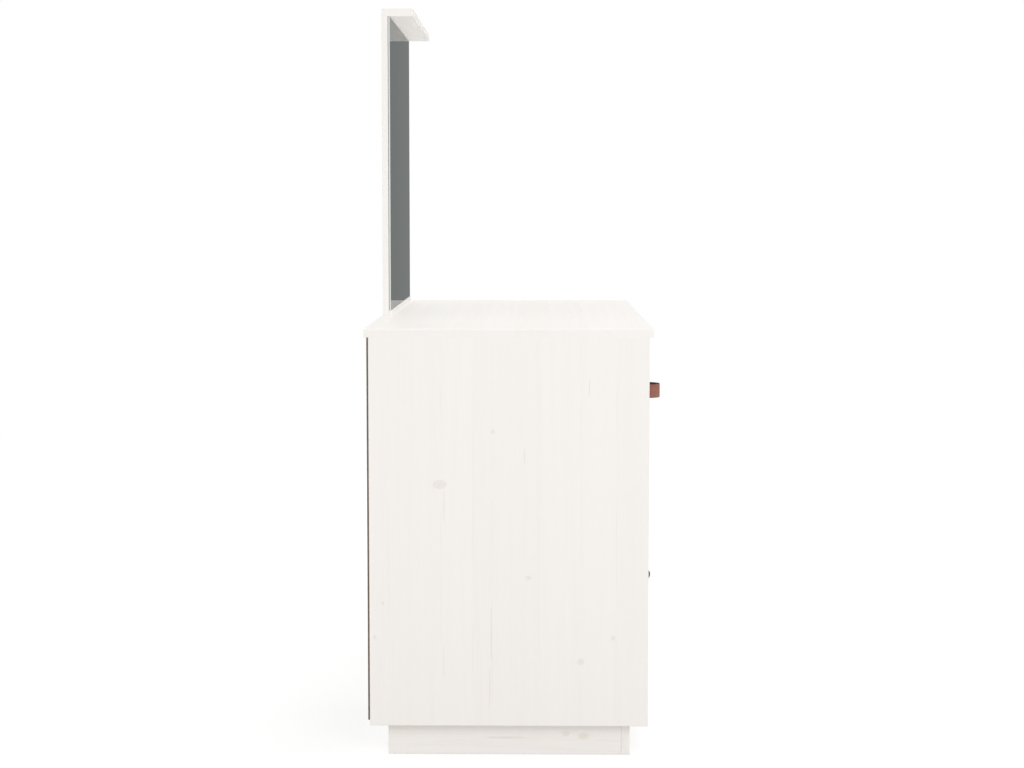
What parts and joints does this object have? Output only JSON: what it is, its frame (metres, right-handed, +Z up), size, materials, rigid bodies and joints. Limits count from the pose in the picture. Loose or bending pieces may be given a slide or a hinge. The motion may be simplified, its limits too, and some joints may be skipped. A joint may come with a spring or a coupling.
{
  "type": "dressing table",
  "caption": "White pine dressing table: a left pedestal with a strap-handled drawer over a hinged cupboard door, an open knee space, and a fixed mirror below a narrow top board.",
  "frame": {"origin": "on the floor, below the middle of the whole table's box, strap handle included", "axes": "+Z up, -Y to the front where the drawer and door open, +X to the right of a person in front"},
  "size_m": [0.95, 0.5224, 1.335],
  "materials": {
    "painted_pine": "thin white paint",
    "back_sheet": "raw brown fibreboard",
    "bare_pine": "planed",
    "drawer_ply": "sanded plywood",
    "beech_dowel": "fluted",
    "mirror_silver": "polished",
    "mirror_tape": "foam tape",
    "strap_leather": "smooth brown",
    "handle_screw": "antique",
    "knob_black": "satin black",
    "zinc_steel": "zinc plated",
    "zinc_casting": "die cast zinc",
    "runner_enamel": "white enamel",
    "white_nylon": "matt",
    "catch_plastic": "matt"
  },
  "bodies": {
    "carcass": {"tabletop": "painted_pine", "left_side_panel": "painted_pine", "pedestal_partition": "painted_pine", "right_side_panel": "painted_pine", "pedestal_bottom_board": "painted_pine", "drawer_divider": "painted_pine", "knee_back_rail": "painted_pine", "cupboard_shelf": "painted_pine", "plinth_front_board": "painted_pine", "plinth_left_board": "painted_pine", "plinth_right_board": "painted_pine", "plinth_back_board": "painted_pine", "right_foot_rail": "painted_pine", "mirror_back_board": "painted_pine", "mirror_ledge": "painted_pine", "mirror_top_board": "painted_pine", "pedestal_back_board": "back_sheet", "plinth_corner_blocks": "bare_pine", "mirror_glass": "mirror_silver", "mirror_tape": "mirror_tape", "carcass_dowels": "beech_dowel", "mirror_dowels": "beech_dowel", "cam_bolts": "zinc_steel", "plinth_screws": "zinc_steel", "back_board_screws": "zinc_steel", "mirror_screws": "zinc_steel", "cabinet_roller_axles": "zinc_steel", "cabinet_runner_screws": "zinc_steel", "catch_screws": "zinc_steel", "shelf_supports": "zinc_steel", "cam_locks": "zinc_casting", "cabinet_runner_left": "runner_enamel", "cabinet_runner_right": "runner_enamel", "pivot_bushes": "white_nylon", "door_catch": "catch_plastic"},
    "drawer": {"drawer_front": "painted_pine", "drawer_side_left": "painted_pine", "drawer_side_right": "painted_pine", "drawer_back": "painted_pine", "drawer_bottom_panel": "drawer_ply", "drawer_dowels": "beech_dowel", "drawer_back_screws": "zinc_steel", "drawer_bottom_screws": "zinc_steel", "drawer_runner_screws": "zinc_steel", "drawer_roller_axles": "zinc_steel", "drawer_runner_left": "runner_enamel", "drawer_runner_right": "runner_enamel", "handle_strap": "strap_leather", "handle_screws": "handle_screw"},
    "door": {"door_panel": "painted_pine", "door_pivot_pins": "zinc_steel", "knob_screw": "zinc_steel", "catch_plate": "zinc_steel", "catch_plate_screw": "zinc_steel", "door_knob": "knob_black"},
    "front_roller_left": {"front_roller_left": "white_nylon"},
    "front_roller_right": {"front_roller_right": "white_nylon"},
    "rear_roller_left": {"rear_roller_left": "white_nylon"},
    "rear_roller_right": {"rear_roller_right": "white_nylon"}
  },
  "joints": [
    {"name": "drawer_slide", "type": "slide", "parent": "carcass", "child": "drawer", "axis": [0, -1, 0], "range_m": [0, 0.33]},
    {"name": "door_hinge", "type": "hinge", "parent": "carcass", "child": "door", "pos_m": [-0.4505, -0.22375, 0.2865], "axis": [0, 0, -1], "range_deg": [0, 95]},
    {"name": "front_roller_left_turn", "type": "hinge", "parent": "carcass", "child": "front_roller_left", "pos_m": [-0.4551, -0.20125, 0.5438], "axis": [1, 0, 0], "range_deg": [0, 2400]},
    {"name": "front_roller_right_turn", "type": "hinge", "parent": "carcass", "child": "front_roller_right", "pos_m": [-0.1149, -0.20125, 0.5438], "axis": [1, 0, 0], "range_deg": [0, 2400]},
    {"name": "rear_roller_left_turn", "type": "hinge", "parent": "drawer", "child": "rear_roller_left", "pos_m": [-0.4524, 0.17275, 0.5438], "axis": [1, 0, 0], "range_deg": [0, 2400]},
    {"name": "rear_roller_right_turn", "type": "hinge", "parent": "drawer", "child": "rear_roller_right", "pos_m": [-0.1176, 0.17275, 0.5438], "axis": [1, 0, 0], "range_deg": [0, 2400]}
  ],
  "couplings": [
    {"joint": "front_roller_left_turn", "follows": "drawer_slide", "rad_per_m": 125},
    {"joint": "front_roller_right_turn", "follows": "drawer_slide", "rad_per_m": 125},
    {"joint": "rear_roller_left_turn", "follows": "drawer_slide", "rad_per_m": 125},
    {"joint": "rear_roller_right_turn", "follows": "drawer_slide", "rad_per_m": 125}
  ]
}
